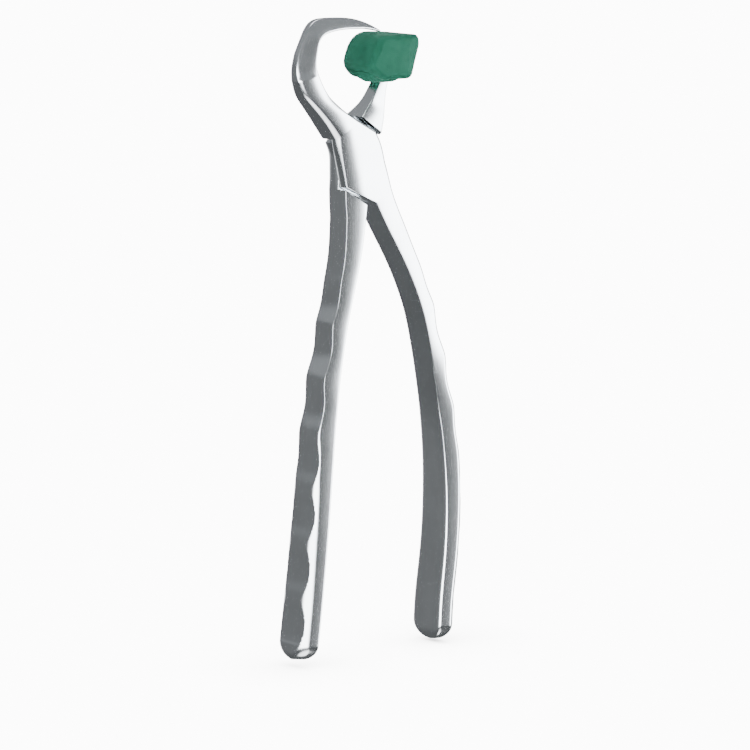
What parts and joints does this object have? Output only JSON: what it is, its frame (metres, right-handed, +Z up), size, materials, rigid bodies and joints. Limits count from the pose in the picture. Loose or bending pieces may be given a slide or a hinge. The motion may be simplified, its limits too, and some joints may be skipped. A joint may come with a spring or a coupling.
{
  "type": "extraction forceps",
  "caption": "Hand forceps with a hooked pointed beak on one lever and a silicone-padded bumper on the other, screwed lap joint and long curved grooved handles.",
  "frame": {"origin": "on the pivot axis, at the front face of the joint (the beak lever's lap plate)", "axes": "+Z up to the working end, handles down; +X to the bumper side; +Y through the joint to its back, along the pivot axis"},
  "size_m": [0.0601, 0.0164, 0.181],
  "materials": {
    "polished_steel": "bright polished stainless steel",
    "screw_steel": "turned stainless steel",
    "silicone": "soft matt green silicone"
  },
  "bodies": {
    "beak_side": {"beak_lever": "polished_steel", "joint_screw": "screw_steel"},
    "bumper_side": {"bumper_lever": "polished_steel", "bumper_guard": "silicone"}
  },
  "joints": [
    {"name": "jaw_pivot", "type": "hinge", "parent": "beak_side", "child": "bumper_side", "pos_m": [0, 0.0045, 0], "axis": [0, 1, 0], "range_deg": [-3, 25]}
  ]
}
